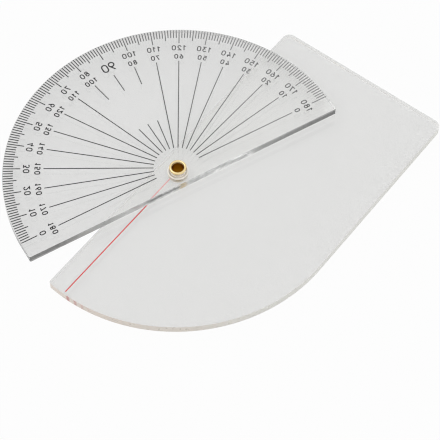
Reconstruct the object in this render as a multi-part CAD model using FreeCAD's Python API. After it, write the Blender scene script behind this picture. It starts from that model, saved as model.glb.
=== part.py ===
import FreeCAD, Part
import math
import os

from FreeCAD import Rotation, Vector

# Angle finder: a clear half-circle protractor turns on a clear arm plate about one brass eyelet.
# It is shown lying on the arm, with the protractor's printed face up.
#
# Frame, in millimetres: the origin is on the pivot axis, level with the underside of the arm.
# +X runs along the 0-180 line of the scale, +Y along its 90 line, and +Z up through the eyelet.
# Angles are in degrees, counted from +X towards +Y.

# Protractor plate, cut from 3 mm clear acrylic sheet
rim_radius = 63.5            # five-inch scale
base_drop = 6.7              # from the 0-180 line down to the straight edge
protractor_sheet = 3.0
base_corner_radius = 0.4

# Arm plate, cut from the next thicker clear sheet, in its own frame:
# u along its upper straight edge, v square to it, both from the pivot
arm_sheet = 3.2
arm_turn = 21.9              # u axis from +X, at rest
arm_upper_edge = 7.2         # v of the upper edge
arm_end = 76.6               # u of the straight end
arm_sweep_radius = 63.9      # quarter circle about the pivot, from the heel to the lower edge
arm_end_corner_radius = 3.0
arm_heel_corner_radius = 2.0

# Both sheets
broken_edge = 0.15           # every cut edge is broken at 45 degrees by this much

# White plastic spacer between the plates
spacer_radius = 3.85
spacer_thickness = 0.25

# Brass eyelet, drawn from thin sheet: a flange under the arm, a barrel, and a rolled head
brass_sheet = 0.3
eyelet_bore_radius = 2.25
flange_radius = 3.65
flange_edge = 0.08           # the flange's outer edge is broken by this much
roll_radius = 0.44           # outside of the rolled head's section
roll_wrap = 210.0            # how far the head is rolled over, from the bore outwards

# Fits
barrel_clearance = 0.05      # radial, in the protractor and the spacer
face_clearance = 0.05        # axial, on each side of the protractor

# Printed lines: films of ink on the upper faces of the two plates
ink_thickness = 0.03
print_margin = 0.2           # bare rim outside the scale
tick_width = 0.38
tick_length_one = 3.7
tick_length_five = 5.0
tick_length_ten = 6.3
ray_width = 0.36
ray_inner_radius = 8.8
ray_outer_radius = 48.6
gap_inner_radius = 22.4      # the rays at 80, 90 and 100 degrees leave a bare panel
gap_outer_radius = 40.2
hairline_width = 0.42
hairline_skew = 0.15         # the red line against the arm's upper edge
hairline_offset = 0.2        # how far the line's middle passes from the pivot, towards that edge
hairline_start = 4.3
hairline_end = 62.9

# Heights, from the underside of the arm upwards
arm_top = arm_sheet
spacer_top = arm_top + spacer_thickness
protractor_bottom = spacer_top + face_clearance
protractor_top = protractor_bottom + protractor_sheet

barrel_radius = eyelet_bore_radius + brass_sheet
running_hole_radius = barrel_radius + barrel_clearance
z_axis = Vector(0, 0, 1)


def polar(radius, angle, z=0.0):
    """Point at a radius and an angle about the pivot."""
    turn = math.radians(angle)
    return Vector(radius * math.cos(turn), radius * math.sin(turn), z)


def arc(radius, start, end):
    """Arc about the pivot, from one angle to another, through the angle midway."""
    return Part.Arc(polar(radius, start), polar(radius, (start + end) / 2), polar(radius, end))


def segment(first, last):
    return Part.LineSegment(first, last)


def plate(outline, thickness, hole_radius):
    """Flat sheet cut to a closed outline, with a round hole at the pivot."""
    wire = Part.Wire([curve.toShape() for curve in outline])
    sheet = Part.Face(wire).extrude(z_axis * thickness)
    hole = Part.makeCylinder(hole_radius, thickness)
    return sheet.cut(hole)


def is_at_corner(edge, corner):
    """True for the upright edge of a plate at one corner of its outline."""
    ends = [vertex.Point for vertex in edge.Vertexes]
    return len(ends) == 2 and all(math.hypot(p.x - corner.x, p.y - corner.y) < 1e-6 for p in ends)


def round_corner(sheet, corner, radius):
    uprights = [edge for edge in sheet.Edges if is_at_corner(edge, corner)]
    return sheet.makeFillet(radius, uprights)


def break_cut_edges(sheet, hole_radius):
    """Breaks the outline's edges on both faces, and leaves the drilled hole crisp."""
    beyond_hole = hole_radius + 1.0
    cut_edges = []
    for edge in sheet.Edges:
        box = edge.BoundBox
        flat = box.ZLength < 1e-6
        outer = max(abs(box.XMin), abs(box.XMax), abs(box.YMin), abs(box.YMax)) > beyond_hole
        if flat and outer:
            cut_edges.append(edge)
    return sheet.makeChamfer(broken_edge, cut_edges)


def protractor_plate():
    """Half disc with a straight strip below the 0-180 line."""
    right_end = Vector(rim_radius, 0, 0)
    left_end = Vector(-rim_radius, 0, 0)
    right_corner = Vector(rim_radius, -base_drop, 0)
    left_corner = Vector(-rim_radius, -base_drop, 0)
    outline = [
        arc(rim_radius, 0, 180),
        segment(left_end, left_corner),
        segment(left_corner, right_corner),
        segment(right_corner, right_end),
    ]
    sheet = plate(outline, protractor_sheet, running_hole_radius)
    for corner in (left_corner, right_corner):
        sheet = round_corner(sheet, corner, base_corner_radius)
    sheet = break_cut_edges(sheet, running_hole_radius)
    sheet.translate(z_axis * protractor_bottom)
    return sheet


def arm_plate():
    """Long plate with a straight upper edge and end, and a quarter-circle sweep at the heel."""
    heel_angle = 180 - math.degrees(math.asin(arm_upper_edge / arm_sweep_radius))
    heel = polar(arm_sweep_radius, heel_angle)
    sweep_foot = polar(arm_sweep_radius, 270)
    upper_corner = Vector(arm_end, arm_upper_edge, 0)
    lower_corner = Vector(arm_end, -arm_sweep_radius, 0)
    outline = [
        arc(arm_sweep_radius, heel_angle, 270),
        segment(sweep_foot, lower_corner),
        segment(lower_corner, upper_corner),
        segment(upper_corner, heel),
    ]
    sheet = plate(outline, arm_sheet, barrel_radius)
    for corner in (upper_corner, lower_corner):
        sheet = round_corner(sheet, corner, arm_end_corner_radius)
    sheet = round_corner(sheet, heel, arm_heel_corner_radius)
    sheet = break_cut_edges(sheet, barrel_radius)
    sheet.rotate(Vector(0, 0, 0), z_axis, arm_turn)
    return sheet


def spacer_washer():
    """Thin ring that keeps the two printed faces apart."""
    ring = Part.makeCylinder(spacer_radius, spacer_thickness)
    ring = ring.cut(Part.makeCylinder(running_hole_radius, spacer_thickness))
    ring.translate(z_axis * arm_top)
    return ring


def pivot_eyelet():
    """Hollow rivet in one piece of sheet brass, as a section turned about the pivot axis."""
    roll_centre_r = eyelet_bore_radius + roll_radius
    lip_angle = 180 - roll_wrap
    lip_drop = roll_radius * math.sin(math.radians(-lip_angle))
    roll_centre_z = protractor_top + face_clearance + lip_drop
    bore_bend = brass_sheet

    def at(r, z):
        return Vector(r, 0, z)

    def on_roll(radius, angle):
        turn = math.radians(angle)
        return at(roll_centre_r + radius * math.cos(turn), roll_centre_z + radius * math.sin(turn))

    # The outside of the roll is a true arc. Its inside, closed off by the lip, is three flats.
    inner_roll = roll_radius - brass_sheet
    bore_top = at(eyelet_bore_radius, roll_centre_z)
    lip = on_roll(roll_radius, lip_angle)
    inner_flats = [on_roll(inner_roll, lip_angle + share * roll_wrap / 3) for share in range(3)]
    inner_flats += [at(barrel_radius, roll_centre_z), at(barrel_radius, 0)]

    # Under the arm the sheet turns outwards into the flange, whose edge is broken on both sides.
    flange_outline = [
        at(flange_radius - flange_edge, 0),
        at(flange_radius, -flange_edge),
        at(flange_radius, flange_edge - brass_sheet),
        at(flange_radius - flange_edge, -brass_sheet),
        at(eyelet_bore_radius + bore_bend, -brass_sheet),
    ]
    bend_middle = at(
        eyelet_bore_radius + bore_bend * (1 - math.cos(math.pi / 4)),
        -bore_bend * math.sin(math.pi / 4),
    )
    bore_foot = at(eyelet_bore_radius, 0)

    corners = [lip] + inner_flats + flange_outline
    section = [segment(first, last) for first, last in zip(corners, corners[1:])]
    section += [
        Part.Arc(flange_outline[-1], bend_middle, bore_foot),
        segment(bore_foot, bore_top),
        Part.Arc(bore_top, on_roll(roll_radius, (180 + lip_angle) / 2), lip),
    ]
    wire = Part.Wire([curve.toShape() for curve in section])
    return Part.Face(wire).revolve(Vector(0, 0, 0), z_axis, 360)


def printed_line(inner, outer, width, angle, face_height, offset=0.0):
    """One straight line of ink that points away from the pivot, or passes it by an offset."""
    corner = Vector(inner, offset - width / 2, face_height)
    line = Part.makeBox(outer - inner, width, ink_thickness, corner)
    line.rotate(Vector(0, 0, 0), z_axis, angle)
    return line


def degree_ticks(length, angles):
    """Marks of one length along the rim, one solid each."""
    outer = rim_radius - print_margin
    marks = [printed_line(outer - length, outer, tick_width, a, protractor_top) for a in angles]
    return Part.makeCompound(marks)


def ray_lines():
    """Lines from the pivot to the numerals, every ten degrees, with a bare panel at the top."""
    lines = []
    for angle in range(0, 181, 10):
        stretches = [(ray_inner_radius, ray_outer_radius)]
        if angle in (80, 90, 100):
            stretches = [(ray_inner_radius, gap_inner_radius), (gap_outer_radius, ray_outer_radius)]
        for inner, outer in stretches:
            lines.append(printed_line(inner, outer, ray_width, angle, protractor_top))
    return Part.makeCompound(lines)


def hairline():
    """Red reading line on the arm, from the spacer to just short of the sweep."""
    angle = 180 + arm_turn + hairline_skew
    reach = (hairline_start, hairline_end)
    return printed_line(*reach, hairline_width, angle, arm_top, offset=-hairline_offset)


degrees = range(181)
parts = {
    "arm_plate": arm_plate(),
    "hairline": hairline(),
    "spacer_washer": spacer_washer(),
    "pivot_eyelet": pivot_eyelet(),
    "protractor_plate": protractor_plate(),
    "ticks_one_degree": degree_ticks(tick_length_one, [a for a in degrees if a % 5]),
    "ticks_five_degree": degree_ticks(tick_length_five, [a for a in degrees if a % 10 == 5]),
    "ticks_ten_degree": degree_ticks(tick_length_ten, [a for a in degrees if a % 10 == 0]),
    "ray_lines": ray_lines(),
}

os.makedirs("parts", exist_ok=True)
for node, shape in parts.items():
    shape.exportStep(os.path.join("parts", node + ".step"))
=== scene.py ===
import math

import bmesh
import bpy
from mathutils import Matrix, Vector


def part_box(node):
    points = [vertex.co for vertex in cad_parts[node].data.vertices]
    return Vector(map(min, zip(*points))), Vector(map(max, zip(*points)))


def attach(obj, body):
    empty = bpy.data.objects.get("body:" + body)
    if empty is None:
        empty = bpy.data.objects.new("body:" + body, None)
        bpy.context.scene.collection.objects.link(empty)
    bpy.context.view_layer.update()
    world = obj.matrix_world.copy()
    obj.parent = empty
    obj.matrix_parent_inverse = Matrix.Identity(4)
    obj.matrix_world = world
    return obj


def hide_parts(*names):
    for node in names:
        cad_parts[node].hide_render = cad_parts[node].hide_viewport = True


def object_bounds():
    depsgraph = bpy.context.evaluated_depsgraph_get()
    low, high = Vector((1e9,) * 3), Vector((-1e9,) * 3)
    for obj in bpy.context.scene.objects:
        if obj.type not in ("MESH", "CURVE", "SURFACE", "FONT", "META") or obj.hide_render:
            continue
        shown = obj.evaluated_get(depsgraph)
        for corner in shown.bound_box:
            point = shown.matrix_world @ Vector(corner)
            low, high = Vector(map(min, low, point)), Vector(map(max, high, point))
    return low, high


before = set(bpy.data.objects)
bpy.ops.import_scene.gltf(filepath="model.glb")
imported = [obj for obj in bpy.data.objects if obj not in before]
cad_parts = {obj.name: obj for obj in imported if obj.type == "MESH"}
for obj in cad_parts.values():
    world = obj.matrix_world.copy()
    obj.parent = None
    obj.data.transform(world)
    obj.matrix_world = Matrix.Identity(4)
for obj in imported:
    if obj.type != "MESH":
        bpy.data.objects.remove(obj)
cad_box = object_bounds()
mm = 0.001


# --- View ---------------------------------------------------------------------------------------
# A long lens looks down on the tool from the side of the arm's sweep. It is aimed 27 mm short of the
# pivot, level with the protractor's printed face, and the horizon is level to within half a degree.
aim = Vector((1.9, -27.0, 6.5)) * mm
view_distance = 0.6158
view_azimuth = math.radians(-30.0)
view_elevation = math.radians(57.69)
view_roll = math.radians(-0.35)
lens = 142.0

flat_reach = math.cos(view_elevation)
towards_camera = Vector((
    math.sin(view_azimuth) * flat_reach,
    -math.cos(view_azimuth) * flat_reach,
    math.sin(view_elevation),
))
camera = bpy.data.objects.new("camera", bpy.data.cameras.new("camera"))
camera.data.lens = lens
camera.location = aim + towards_camera * view_distance
level = (-towards_camera).to_track_quat("-Z", "Y")
camera.rotation_euler = (level.to_matrix() @ Matrix.Rotation(view_roll, 3, "Z")).to_euler()
bpy.context.scene.collection.objects.link(camera)
bpy.context.scene.camera = camera


# --- Protractor plate ---------------------------------------------------------------------------
# Half disc of 3 mm clear cast acrylic with a straight strip below the 0-180 line. The straight edge
# is left as machined and the rim is polished. It turns on the eyelet's barrel, in a drilled hole.
plate_low, plate_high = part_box("protractor_plate")
rim_radius = plate_high.x
base_drop = -plate_low.y
running_hole_radius = 2.60 * mm
base_corner_radius = 0.4 * mm
base_corner_steps = 4
broken_edge = 0.04 * mm
rim_steps = 360
hole_steps = 96
pivot = (0, 0, 0)
acrylic_ior = 1.49


class Shade:
    """One socket of a material's node tree, so that shader maths reads as plain Python."""

    def __init__(self, tree, socket=None):
        self.tree = tree
        self.socket = socket

    def node(self, kind, settings=(), sockets=(), out=0):
        """Adds a node, sets its settings, then its sockets by value or by link, and gives one output."""
        made = self.tree.nodes.new("ShaderNode" + kind)
        for name, value in dict(settings).items():
            setattr(made, name, value)
        for name, value in dict(sockets).items():
            if isinstance(value, Shade):
                self.tree.links.new(value.socket, made.inputs[name])
            else:
                made.inputs[name].default_value = value
        return Shade(self.tree, made.outputs[out] if made.outputs else None)

    def maths(self, operation, *values):
        return self.node("Math", {"operation": operation}, enumerate(values))

    def __add__(self, other):
        return self.maths("ADD", self, other)

    def __mul__(self, other):
        return self.maths("MULTIPLY", self, other)

    def __sub__(self, other):
        return self.maths("SUBTRACT", self, other)

    def __rsub__(self, other):
        return self.maths("SUBTRACT", other, self)

    __radd__ = __add__
    __rmul__ = __mul__

    def place(self):
        return self.node("TexCoord", out="Object")

    def axis(self, name):
        return self.node("SeparateXYZ", {}, {"Vector": self.place()}, out=name)

    def off_pivot(self):
        """Distance from the pivot's axis."""
        across, along = self.axis("X"), self.axis("Y")
        return self.maths("SQRT", across * across + along * along)

    def noise(self, scale, detail=2.0, stretch=(1, 1, 1)):
        """Noise from 0 to 1 on the piece's own coordinates, in features per metre."""
        at = self.node("Mapping", {}, {"Vector": self.place(), "Scale": stretch})
        return self.node("TexNoise", {}, {"Vector": at, "Scale": scale, "Detail": detail})

    def blend(self, share, first, second):
        """Colour between two colours, each a triple or a shade."""
        first, second = (c if isinstance(c, Shade) else (*c, 1) for c in (first, second))
        sockets = {"Factor": share, "A": first, "B": second}
        return self.node("Mix", {"data_type": "RGBA"}, sockets, out="Result")

    def ramp(self, value, start, end):
        """0 up to the start, 1 from the end on, and even between them."""
        sockets = {"Value": value, "From Min": start, "From Max": end}
        return self.node("MapRange", {}, sockets)

    def near(self, value, middle, reach):
        """1 near a middle value and 0 away from it. The reach is two distances, for 0 and for 1."""
        return self.ramp(self.maths("ABSOLUTE", value - middle), *reach)

    def bump(self, height, distance, strength):
        return self.node("Bump", {}, {"Height": height, "Distance": distance, "Strength": strength})

    def to_surface(self):
        """Makes this shader the material's surface."""
        self.node("OutputMaterial", {}, {"Surface": self})


def new_material(name):
    """A material with an empty tree, and the shade that adds its nodes."""
    material = bpy.data.materials.new(name)
    material.use_nodes = True
    material.node_tree.nodes.clear()
    return material, Shade(material.node_tree)


def clouds(shade):
    """Slow unevenness of cast sheet, about 25 mm across."""
    return shade.noise(40.0)


def clouded(light, dark):
    """Colour of clean sheet, faintly clouded."""
    return lambda shade: shade.blend(clouds(shade), dark, light)


def acrylic(name, colour, dullness, clear=1.0):
    """Cast sheet in a colour that is a function of its shade, with gloss dulled a little by wiping."""
    material, shade = new_material(name)
    wiping = shade.noise(900.0, detail=3.0, stretch=(1, 0.15, 1))
    shade.node("BsdfPrincipled", {}, {
        "Base Color": colour(shade),
        "Roughness": wiping * dullness + dullness,
        "IOR": acrylic_ior,
        "Transmission Weight": clear,
        "Normal": shade.bump(clouds(shade), distance=0.02 * mm, strength=0.05),
    }).to_surface()
    return material


def bend(bm, start, centre, angle, steps, axis=(0, 0, 1)):
    """Carries an outline's last vertex round a bend and gives back the new last vertex."""
    bent = bmesh.ops.spin(bm, geom=[start], cent=centre, axis=axis, angle=angle, steps=steps)
    return bent["geom_last"][0]


def run(bm, start, end):
    """Carries an outline's last vertex along a straight stretch."""
    last = bm.verts.new(end)
    bm.edges.new((start, last))
    return last


def fill(bm, last, first):
    """Closes an outline and fills it."""
    bm.edges.new((last, first))
    bmesh.ops.contextual_create(bm, geom=bm.edges[:])


def round_corners(bm, corners, radius, steps):
    """Rounds square corners of a flat outline."""
    bmesh.ops.bevel(
        bm, geom=corners, offset=radius, segments=steps, profile=0.5, affect="VERTICES", material=-1,
    )


def flat_outline_edges(bm):
    """Edges between a flat face and a cut side."""
    edges = []
    for edge in bm.edges:
        upright = [abs(face.normal.z) < 0.5 for face in edge.link_faces]
        if len(upright) == 2 and upright[0] != upright[1]:
            edges.append(edge)
    return edges


def cut_sheet(bm, thickness, hole_radius):
    """Turns a flat outline into a sheet with broken edges and a drilled hole at the pivot."""
    outline = bm.faces[:]
    grown = bmesh.ops.extrude_face_region(bm, geom=outline, use_keep_orig=True)
    top = [item for item in grown["geom"] if isinstance(item, bmesh.types.BMVert)]
    bmesh.ops.translate(bm, verts=top, vec=(0, 0, thickness))
    bmesh.ops.recalc_face_normals(bm, faces=bm.faces)
    bmesh.ops.bevel(
        bm, geom=flat_outline_edges(bm), offset=broken_edge, segments=2,
        profile=0.5, affect="EDGES", material=-1,
    )
    flats = [face for face in bm.faces if abs(face.normal.z) > 0.999]
    walls = []
    for face in flats:
        height = face.verts[0].co.z
        border = face.edges[:]
        place = Matrix.Translation((0, 0, height))
        ring = bmesh.ops.create_circle(bm, segments=hole_steps, radius=hole_radius, matrix=place)
        drilled = list({edge for vert in ring["verts"] for edge in vert.link_edges})
        bmesh.ops.delete(bm, geom=[face], context="FACES_ONLY")
        bmesh.ops.triangle_fill(bm, use_beauty=True, edges=border + drilled)
        walls += drilled
    bmesh.ops.bridge_loops(bm, edges=walls)
    bmesh.ops.recalc_face_normals(bm, faces=bm.faces)


def finish_mesh(bm, name, materials, sharp_angle=20.0, side=None):
    """Makes the piece, smooth but for its sharp edges. A function picks the material of a cut side."""
    for face in bm.faces:
        face.smooth = True
        if side and abs(face.normal.z) < 0.9:
            face.material_index = side(face)
    for edge in bm.edges:
        edge.smooth = edge.is_manifold and edge.calc_face_angle(0.0) < math.radians(sharp_angle)
    mesh = bpy.data.meshes.new(name)
    bm.to_mesh(mesh)
    bm.free()
    for material in materials:
        mesh.materials.append(material)
    piece = bpy.data.objects.new(name, mesh)
    bpy.context.scene.collection.objects.link(piece)
    return piece


bm = bmesh.new()
right_end = bm.verts.new((rim_radius, 0, 0))
left_end = bend(bm, right_end, pivot, math.pi, rim_steps)
left_corner = run(bm, left_end, (-rim_radius, -base_drop, 0))
right_corner = run(bm, left_corner, (rim_radius, -base_drop, 0))
fill(bm, right_corner, right_end)
round_corners(bm, [left_corner, right_corner], base_corner_radius, base_corner_steps)
cut_sheet(bm, plate_high.z - plate_low.z, running_hole_radius)
bmesh.ops.translate(bm, verts=bm.verts, vec=(0, 0, plate_low.z))


def protractor_side(face):
    """The straight edge, its corners and the hole are left as machined, and the rim is polished."""
    on_straight_edge = face.normal.y < -0.1
    in_hole = face.calc_center_median().xy.length < 2 * running_hole_radius
    return 1 if on_straight_edge or in_hole else 2


# A line of painted shade wanders along the straight edge and climbs towards the left end. It is wide
# and dark at the two ends, dark again in a patch left of the eyelet, and faint beyond that. Beside the
# eyelet the edge has a painted reflection of the brass.
unshaded_edge = (0.93, 0.935, 0.925)
painted_edge_shade = (0.36, 0.365, 0.36)
painted_eyelet_reflection = (0.80, 0.71, 0.53)
shade_line_height = plate_low.z + 1.6 * mm
shade_line_slope = -0.009
shade_line_wander = 1.6 * mm
shade_line_reach = (1.0 * mm, 0.4 * mm)      # half widths of the line, where it ends and where it is full
shade_line_spread = 0.6 * mm                 # how much wider it is at the darker ends
darker_left = (-42 * mm, -49 * mm)        # stretches of the edge: where each begins, and where it is full
darker_right = (22 * mm, 60 * mm)
faint_left = (-10 * mm, -24 * mm)
dark_patch_middle = -10 * mm
dark_patch_reach = (9 * mm, 5 * mm)
reflection_middle = -1.7 * mm
reflection_reach = (2.3 * mm, 0.6 * mm)
edge_strength = 0.24                    # along the whole edge, and what each stretch adds or takes
darker_end_strength = 0.7
dark_patch_strength = 0.8
faint_strength = 0.18


# Painted shade in a line along the straight edge, and a painted reflection of the eyelet's brass.
def straight_edge(shade):
    across, height = shade.axis("X"), shade.axis("Z")
    wander = shade.noise(110.0, stretch=(1, 0, 0)) - 0.5
    shade_line_middle = across * shade_line_slope + wander * shade_line_wander + shade_line_height
    darker_ends = shade.ramp(across, *darker_left) + shade.ramp(across, *darker_right)
    off_line = shade.maths("ABSOLUTE", height - shade_line_middle) - darker_ends * shade_line_spread
    shade_line = shade.ramp(off_line, *shade_line_reach)
    dark_patch = shade.near(across, dark_patch_middle, dark_patch_reach)
    faint = shade.ramp(across, *faint_left)
    added = darker_ends * darker_end_strength + dark_patch * dark_patch_strength - faint * faint_strength
    patches = shade.noise(260.0, detail=3.0, stretch=(1, 0, 1)) * 0.9 + 0.55
    # Painted reflection of the eyelet's brass in the edge.
    eyelet_reflection = shade.near(across, reflection_middle, reflection_reach)
    with_reflection = shade.blend(eyelet_reflection, unshaded_edge, painted_eyelet_reflection)
    return shade.blend(shade_line * patches * (added + edge_strength), with_reflection, painted_edge_shade)


protractor = finish_mesh(bm, "protractor_sheet", [
    acrylic("protractor_acrylic", clouded((0.98, 0.98, 0.974), (0.97, 0.97, 0.964)), 0.01),
    acrylic("protractor_machined_edge", straight_edge, 0.08, clear=0.58),
    acrylic("protractor_clean_rim", clouded((1.0, 1.0, 1.0), (0.99, 0.99, 0.99)), 0.05),
], side=protractor_side)
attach(protractor, "protractor")
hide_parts("protractor_plate")


# --- Scale and rays -----------------------------------------------------------------------------
# Degree marks and rays are one pass of black screen ink on the protractor's face, built as films in
# the frame. The ink is dense, a little uneven, and drier than the sheet it lies on.
ink_dense = (0.008, 0.008, 0.009)
ink_thin = (0.25, 0.25, 0.252)
thinning_start = -15 * mm               # the ink is paler towards the outer row's 180
thinning_end = 45 * mm


def printing_ink(name, dense, thin, thinning):
    """Screen ink, from dense to thin by a function of its shade, with a little unevenness on top."""
    material, shade = new_material(name)
    grain = shade.noise(500.0, detail=3.0)
    shade.node("BsdfPrincipled", {}, {
        "Base Color": shade.blend(thinning(shade) * 0.8 + grain * 0.2, dense, thin),
        "Roughness": grain * 0.2 + 0.4,
        "Specular IOR Level": 0.25,
        "Normal": shade.bump(grain, distance=0.01 * mm, strength=0.3),
    }).to_surface()
    return material


def towards_180(shade):
    return shade.ramp(shade.axis("X"), thinning_start, thinning_end)


def dress(node, material):
    """Gives one of the frame's own nodes its finish."""
    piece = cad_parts[node]
    piece.data.materials.clear()
    piece.data.materials.append(material)
    return piece


black_ink = printing_ink("black_ink", ink_dense, ink_thin, towards_180)
for node in ("ticks_one_degree", "ticks_five_degree", "ticks_ten_degree", "ray_lines"):
    dress(node, black_ink)


# --- Numerals -----------------------------------------------------------------------------------
# Two rows of figures every ten degrees, with one large 90 between them, in the same black ink, which
# thins less here. They are plain upright drawing-office figures in lines of even weight, printed to
# be read through the sheet, so from the printed side they are mirrored.
figure_thin = (0.165, 0.165, 0.167)
print_height = plate_high.z
ink_thickness = 0.03 * mm
outer_row = 54.83 * mm                  # radius of the middle of the figures
inner_row = 50.76 * mm
ninety_row = 52.80 * mm
outer_height = 2.05 * mm                # between the middles of the top and bottom lines
inner_height = 1.82 * mm
ninety_height = 3.36 * mm
line_weight = 0.40 * mm
ninety_line_weight = 0.53 * mm
figure_gap = 0.88 * mm


def bow(x, y, radius, start, end, steps=12):
    """Points round an arc, from one angle to another in degrees."""
    turns = [math.radians(start + (end - start) * step / steps) for step in range(steps + 1)]
    return [(x + radius * math.cos(turn), y + radius * math.sin(turn)) for turn in turns]


# Each figure is its width and its pen strokes, for a height of 1. A cut end runs past the last
# line's middle by about half the line's weight.
six = [(0.46, 1.08)] + bow(0.30, 0.30, 0.30, 145, 505, 24)
figures = {
    "0": (0.60, [bow(0.30, 0.70, 0.30, 0, 180) + bow(0.30, 0.30, 0.30, 180, 360) + [(0.60, 0.70)]]),
    "1": (0.42, [[(0.00, 0.74), (0.24, 0.94)], [(0.30, 1.08), (0.30, -0.08)]]),
    "2": (0.60, [bow(0.29, 0.71, 0.29, 180, -43) + [(0.04, 0.00), (0.62, 0.00)]]),
    "3": (0.60, [[(0.00, 1.00), (0.50, 1.00), (0.27, 0.62)] + bow(0.28, 0.31, 0.31, 85, -150)]),
    "4": (0.64, [[(0.40, 1.08), (0.04, 0.24), (0.64, 0.24)], [(0.46, 0.48), (0.46, -0.08)]]),
    "5": (0.60, [[(0.56, 1.00), (0.08, 1.00), (0.055, 0.55)] + bow(0.28, 0.31, 0.31, 118, -150)]),
    "6": (0.60, [six]),
    "7": (0.58, [[(0.00, 1.00), (0.54, 1.00), (0.16, -0.08)]]),
    "8": (0.60, [bow(0.30, 0.765, 0.235, 0, 360, 20), bow(0.30, 0.29, 0.29, 0, 360, 24)]),
    "9": (0.60, [[(0.60 - x, 1 - y) for x, y in six]]),
}


def flat_curve(name, splines):
    """An unfilled flat curve of straight runs. A spline that ends where it starts is closed."""
    curve = bpy.data.curves.new(name, "CURVE")
    curve.dimensions = "2D"
    curve.fill_mode = "NONE"
    for points in splines:
        closed = math.dist(points[0], points[-1]) < 1e-9
        if closed:
            points = points[:-1]
        spline = curve.splines.new("POLY")
        spline.points.add(len(points) - 1)
        spline.use_cyclic_u = closed
        for point, (x, y) in zip(spline.points, points):
            point.co = (x, y, 0, 1)
    drawn = bpy.data.objects.new(name, curve)
    bpy.context.scene.collection.objects.link(drawn)
    return drawn


def numeral(bm, text, angle, row, height, weight):
    """Adds one number, mirrored, with its top away from the pivot."""
    left = 0.0
    strokes = []
    for figure in text:
        width, lines = figures[figure]
        strokes += [[(left + x * height, y * height) for x, y in line] for line in lines]
        left += width * height + figure_gap
    across, up = weight / 2, ink_thickness / 2
    corners = [(-across, -up), (across, -up), (across, up), (-across, up), (-across, -up)]
    pen = flat_curve("pen", [corners])
    drawn = flat_curve("strokes", strokes)
    drawn.data.bevel_mode = "OBJECT"
    drawn.data.bevel_object = pen
    drawn.data.use_fill_caps = True
    laid = drawn.evaluated_get(bpy.context.evaluated_depsgraph_get())
    mesh = bpy.data.meshes.new_from_object(laid)
    middle = Matrix.Translation(((figure_gap - left) / 2, -height / 2, 0))
    mirror = Matrix.Diagonal((-1, 1, 1, 1))
    place = Matrix.Translation((0, row, print_height + ink_thickness / 2))
    turn = Matrix.Rotation(math.radians(angle - 90), 4, "Z")
    mesh.transform(turn @ place @ mirror @ middle)
    bm.from_mesh(mesh)
    bpy.data.meshes.remove(mesh)
    for curve in (drawn.data, pen.data):
        bpy.data.curves.remove(curve)


figure_ink = printing_ink("figure_ink", ink_dense, figure_thin, towards_180)
rows = {"numerals_outer": bmesh.new(), "numerals_inner": bmesh.new(), "numeral_ninety": bmesh.new()}
for angle in range(0, 181, 10):
    if angle == 90:
        numeral(rows["numeral_ninety"], "90", angle, ninety_row, ninety_height, ninety_line_weight)
        continue
    numeral(rows["numerals_outer"], str(180 - angle), angle, outer_row, outer_height, line_weight)
    numeral(rows["numerals_inner"], str(angle), angle, inner_row, inner_height, line_weight)
for name, bm in rows.items():
    bmesh.ops.remove_doubles(bm, verts=bm.verts, dist=1e-7)
    bmesh.ops.recalc_face_normals(bm, faces=bm.faces)
    printed = finish_mesh(bm, name, [figure_ink])
    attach(printed, "protractor")


# --- Arm plate ----------------------------------------------------------------------------------
# Clear cast acrylic a little thicker than the protractor's, cut with a straight upper edge and end,
# and a quarter-circle sweep about the pivot at the heel. The eyelet is set tight in its hole.
arm_low, arm_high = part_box("arm_plate")
arm_turn = math.radians(21.9)
arm_upper_edge = 7.2 * mm
arm_end = 76.6 * mm
sweep_radius = 63.9 * mm
end_corner_radius = 3.0 * mm
heel_corner_radius = 1.0 * mm
corner_steps = 10
tight_hole_radius = 2.55 * mm
sweep_steps = 200
towards_lower_edge = (math.sin(arm_turn), -math.cos(arm_turn))

# The heel's corner touches the upper edge and the sweep. That sets its middle, as a distance from
# the pivot and an angle.
heel_reach = sweep_radius - heel_corner_radius
heel_lift = math.asin((arm_upper_edge - heel_corner_radius) / heel_reach)
heel_middle = Vector((-math.cos(heel_lift), math.sin(heel_lift), 0)) * heel_reach
bm = bmesh.new()
heel = bm.verts.new((heel_middle.x, arm_upper_edge, 0))
sweep_start = bend(bm, heel, heel_middle, math.pi / 2 - heel_lift, corner_steps)
sweep_foot = bend(bm, sweep_start, pivot, math.pi / 2 + heel_lift, sweep_steps)
lower_corner = run(bm, sweep_foot, (arm_end, -sweep_radius, 0))
upper_corner = run(bm, lower_corner, (arm_end, arm_upper_edge, 0))
fill(bm, upper_corner, heel)
round_corners(bm, [lower_corner, upper_corner], end_corner_radius, corner_steps)
cut_sheet(bm, arm_high.z - arm_low.z, tight_hole_radius)
bmesh.ops.rotate(bm, verts=bm.verts, cent=pivot, matrix=Matrix.Rotation(arm_turn, 3, "Z"))
bmesh.ops.translate(bm, verts=bm.verts, vec=(0, 0, arm_low.z))


def arm_side(face):
    """The sweep and the lower edge are left as sawn, and the others and the hole are polished."""
    centre = face.calc_center_median().xy
    on_lower_edge = face.normal.xy.dot(towards_lower_edge) > 0.7 and centre.x > 0
    on_sweep = abs(centre.length - sweep_radius) < broken_edge
    return 2 if on_lower_edge or on_sweep else 1


# The sawn edge is buff, pinker towards the heel, with red marks at an even pitch where the hairline
# ends.
sawn_buff = (0.875, 0.87, 0.82)
sawn_pink = (0.95, 0.845, 0.765)
red_mark = (0.70, 0.30, 0.28)
first_red_mark = -58.6 * mm
red_mark_pitch = 1.35 * mm
red_mark_reach = (0.4 * mm, 0.4 * mm / 3)
red_marks_start = (-59.4 * mm, -58.9 * mm)
red_marks_end = (-54 * mm, -59 * mm)


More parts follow.
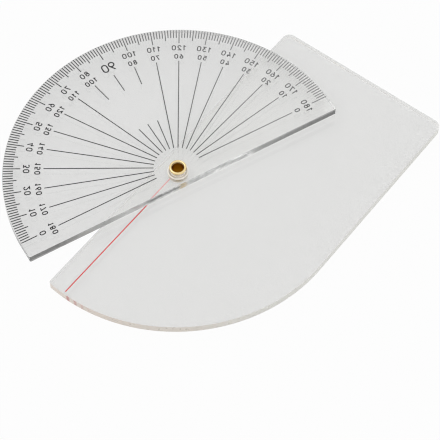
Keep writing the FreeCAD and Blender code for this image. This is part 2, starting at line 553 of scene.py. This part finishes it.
def sawn_edge(shade):
    across = shade.axis("X")
    sawn = shade.blend(shade.ramp(across, -sweep_radius, 0), sawn_pink, sawn_buff)
    near_hairline = shade.ramp(across, *red_marks_start) * shade.ramp(across, *red_marks_end)
    off_red_mark = shade.maths("PINGPONG", across - first_red_mark, red_mark_pitch / 2)
    red_marks = shade.ramp(off_red_mark, *red_mark_reach) * near_hairline
    return shade.blend(red_marks, sawn, red_mark)


arm = finish_mesh(bm, "arm_sheet", [
    acrylic("arm_acrylic", clouded((0.99, 0.99, 0.982), (0.98, 0.98, 0.972)), 0.01),
    acrylic("arm_polished_edge", clouded((0.99, 0.99, 0.985), (0.97, 0.97, 0.965)), 0.01),
    acrylic("arm_sawn_edge", sawn_edge, 0.2, clear=0.2),
], side=arm_side)
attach(arm, "arm")
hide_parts("arm_plate")


# --- Hairline -----------------------------------------------------------------------------------
# One line of red screen ink on the arm's upper face, from the spacer to just short of the sweep. The
# scale is read against it. Near the pivot, under the protractor, it is worn paler.
red_dense = (0.64, 0.014, 0.024)
red_worn = (0.85, 0.42, 0.42)
wear_reach = (18.5 * mm, 17 * mm)


def under_protractor(shade):
    return shade.ramp(shade.off_pivot(), *wear_reach)


red_ink = printing_ink("red_ink", red_dense, red_worn, under_protractor)
dress("hairline", red_ink)


# --- Spacer -------------------------------------------------------------------------------------
# Thin washer of white nylon, punched from sheet and threaded on the eyelet, which keeps the two
# acrylic sheets apart. It carries a grey ring of painted shade, fainter on the side of the sweep.
nylon_warm = (0.93, 0.90, 0.85)
nylon_white = (0.98, 0.96, 0.92)
painted_ring_shade = (0.30, 0.26, 0.21)
shade_ring_radius = 3.1 * mm
shade_ring_reach = (0.4 * mm, 0.2 * mm)
shade_ring_side = (-2.8 * mm, -1 * mm)

material, shade = new_material("spacer_plastic")
nylon_grain = shade.noise(1500.0)
nylon = shade.blend(nylon_grain, nylon_warm, nylon_white)
# Painted shade: a grey ring under the rim of the eyelet's roll.
shade_ring = shade.near(shade.off_pivot(), shade_ring_radius, shade_ring_reach)
shade_ring = shade_ring * (shade.ramp(shade.axis("Y"), *shade_ring_side) * 0.5 + 0.5)
shade.node("BsdfPrincipled", {}, {
    "Base Color": shade.blend(shade_ring * 0.8, nylon, painted_ring_shade),
    "Roughness": nylon_grain * 0.15 + 0.4,
    "Normal": shade.bump(nylon_grain, distance=0.02 * mm, strength=0.2),
}).to_surface()
dress("spacer_washer", material)


# --- Eyelet -------------------------------------------------------------------------------------
# Hollow rivet drawn from 0.3 mm brass. Its flange sits under the arm, and its head is rolled over
# onto the protractor by a press, which leaves a bright burnished ring.
eyelet_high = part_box("pivot_eyelet")[1]
brass_sheet = 0.3 * mm
bore_radius = 2.25 * mm
barrel_radius = bore_radius + brass_sheet
roll_radius = 0.44 * mm
roll_wrap = math.radians(210)
roll_steps = 24
flange_radius = eyelet_high.x
flange_edge = brass_sheet / 2
flange_steps = 8
foot_steps = 6
turn_steps = 160
roll_centre = Vector((bore_radius + roll_radius, 0, eyelet_high.z - roll_radius))
edge_centre = (flange_radius - flange_edge, 0, -flange_edge)
tangent = (0, 1, 0)                     # the section is drawn in the XZ plane, and turned about Z

bm = bmesh.new()
first = bm.verts.new((bore_radius, 0, 0))
last = run(bm, first, (bore_radius, 0, roll_centre.z))
last = bend(bm, last, roll_centre, roll_wrap, roll_steps, tangent)
lip_inside = roll_centre.lerp(last.co, (roll_radius - brass_sheet) / roll_radius)
last = run(bm, last, lip_inside)
last = bend(bm, last, roll_centre, -roll_wrap, roll_steps // 2, tangent)
last = run(bm, last, (barrel_radius, 0, 0))
last = run(bm, last, (flange_radius - flange_edge, 0, 0))
last = bend(bm, last, edge_centre, math.pi, flange_steps, tangent)
last = run(bm, last, (barrel_radius, 0, -brass_sheet))
last = bend(bm, last, (barrel_radius, 0, 0), math.pi / 2, foot_steps, tangent)
bmesh.ops.remove_doubles(bm, verts=bm.verts, dist=1e-7)
bmesh.ops.spin(
    bm, geom=bm.verts[:] + bm.edges[:], cent=pivot, axis=(0, 0, 1),
    angle=2 * math.pi, steps=turn_steps, use_merge=True,
)
bmesh.ops.recalc_face_normals(bm, faces=bm.faces)

# The press burnishes the roll and the bore's mouth. Below that the bore carries brown painted shade, a
# little lighter towards its foot. The flange, which the press leaves dull, is paled as painted light
# against the shade under the spacer.
bright_brass = (0.95, 0.79, 0.46)
dull_brass = (0.90, 0.71, 0.36)
flange_painted_light = (0.95, 0.90, 0.80)
painted_bore_shade = (0.20, 0.07, 0.002)
painted_foot_shade = (0.27, 0.13, 0.025)
amber_edge = (1.0, 0.67, 0.36, 1)       # brass seen at a shallow angle
inner_half = (barrel_radius, bore_radius + brass_sheet / 2)
bore_shade_depth = (roll_centre.z - 0.3 * mm, roll_centre.z - 0.6 * mm)
mouth_foot = (roll_centre.z - 0.6 * mm, roll_centre.z - 0.4 * mm)
mouth_top = (roll_centre.z + 0.2 * mm, roll_centre.z)
flange_reach = (barrel_radius, bore_radius + 2 * brass_sheet)
flange_height = (0.1 * mm, 0)
foot_height = (3 * mm, 0)

material, shade = new_material("brass")
tarnish = shade.noise(700.0, detail=3.0)
draw_marks = shade.noise(6000.0, stretch=(1, 1, 0.05))
off_pivot, height = shade.off_pivot(), shade.axis("Z")
inside = shade.ramp(off_pivot, *inner_half)
in_bore = inside * shade.ramp(height, *bore_shade_depth)
in_mouth = inside * shade.ramp(height, *mouth_foot) * shade.ramp(height, *mouth_top)
on_flange = shade.ramp(off_pivot, *flange_reach) * shade.ramp(height, *flange_height)
rolled = shade.blend(tarnish, dull_brass, bright_brass)
# Painted shade in the bore, a little lighter towards its foot, and painted light on the flange.
bore_shade = shade.blend(shade.ramp(height, *foot_height), painted_bore_shade, painted_foot_shade)
shade.node("BsdfPrincipled", {}, {
    "Base Color": shade.blend(in_bore, shade.blend(on_flange, rolled, flange_painted_light), bore_shade),
    "Metallic": 1 - on_flange * 0.7 - in_mouth * 0.7,
    "Specular Tint": amber_edge,
    "Roughness": tarnish * 0.12 + in_bore * 0.2 + 0.16,
    "Normal": shade.bump(draw_marks, distance=0.01 * mm, strength=0.15),
}).to_surface()
eyelet = finish_mesh(bm, "brass_eyelet", [material], sharp_angle=50.0)
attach(eyelet, "arm")
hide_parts("pivot_eyelet")


# --- Floor and light ----------------------------------------------------------------------------
# A plain white table under a broad soft light. Rays see it mixed with an even white: most of all
# straight from the camera, less off metal, and least through the sheets.
floor_size = 3.0
floor_level = cad_box[0].z
table_colour = (0.56, 0.56, 0.56, 1)
white_seen = 0.96                       # shares of the even white in what each kind of ray sees
white_mirrored = 0.80
white_through = 0.45
bm = bmesh.new()
bmesh.ops.create_grid(bm, x_segments=1, y_segments=1, size=floor_size)
bmesh.ops.translate(bm, verts=bm.verts, vec=(0, 0, floor_level))
material, shade = new_material("floor")
seen, mirrored, through = (
    shade.node("LightPath", out="Is %s Ray" % kind) for kind in ("Camera", "Glossy", "Transmission")
)
share = seen * white_seen + (1 - through) * mirrored * white_mirrored + through * white_through
table = shade.node("BsdfDiffuse", {}, {"Color": table_colour})
white = shade.node("Emission", {}, {"Color": (1, 1, 1, 1), "Strength": 1.0})
shade.node("MixShader", {}, {0: share, 1: table, 2: white}).to_surface()
floor = finish_mesh(bm, "floor", [material])

world = bpy.data.worlds.new("studio")
world.use_nodes = True
background = world.node_tree.nodes["Background"]
background.inputs["Color"].default_value = (1, 1, 1, 1)
background.inputs["Strength"].default_value = 0.9
bpy.context.scene.world = world

lamp = bpy.data.objects.new("softbox", bpy.data.lights.new("softbox", "AREA"))
lamp.data.shape = "RECTANGLE"
lamp.data.size = 0.8
lamp.data.size_y = 0.8
lamp.data.energy = 1.5
lamp.location = (-0.35, 0.45, 0.9)
lamp.rotation_euler = (-lamp.location).to_track_quat("-Z", "Y").to_euler()
bpy.context.scene.collection.objects.link(lamp)

# Light crosses a sheet in dozens of bounces between its faces before it leaves through an edge. Its
# reflections aren't blurred on the way, and a narrow pixel filter keeps the fine marks crisp.
light_bounces = 96
for kind in ("max_bounces", "glossy_bounces", "transmission_bounces"):
    setattr(bpy.context.scene.cycles, kind, light_bounces)
bpy.context.scene.cycles.blur_glossy = 0.0
bpy.context.scene.cycles.filter_width = 1.2

bpy.context.scene.view_settings.view_transform = "Standard"
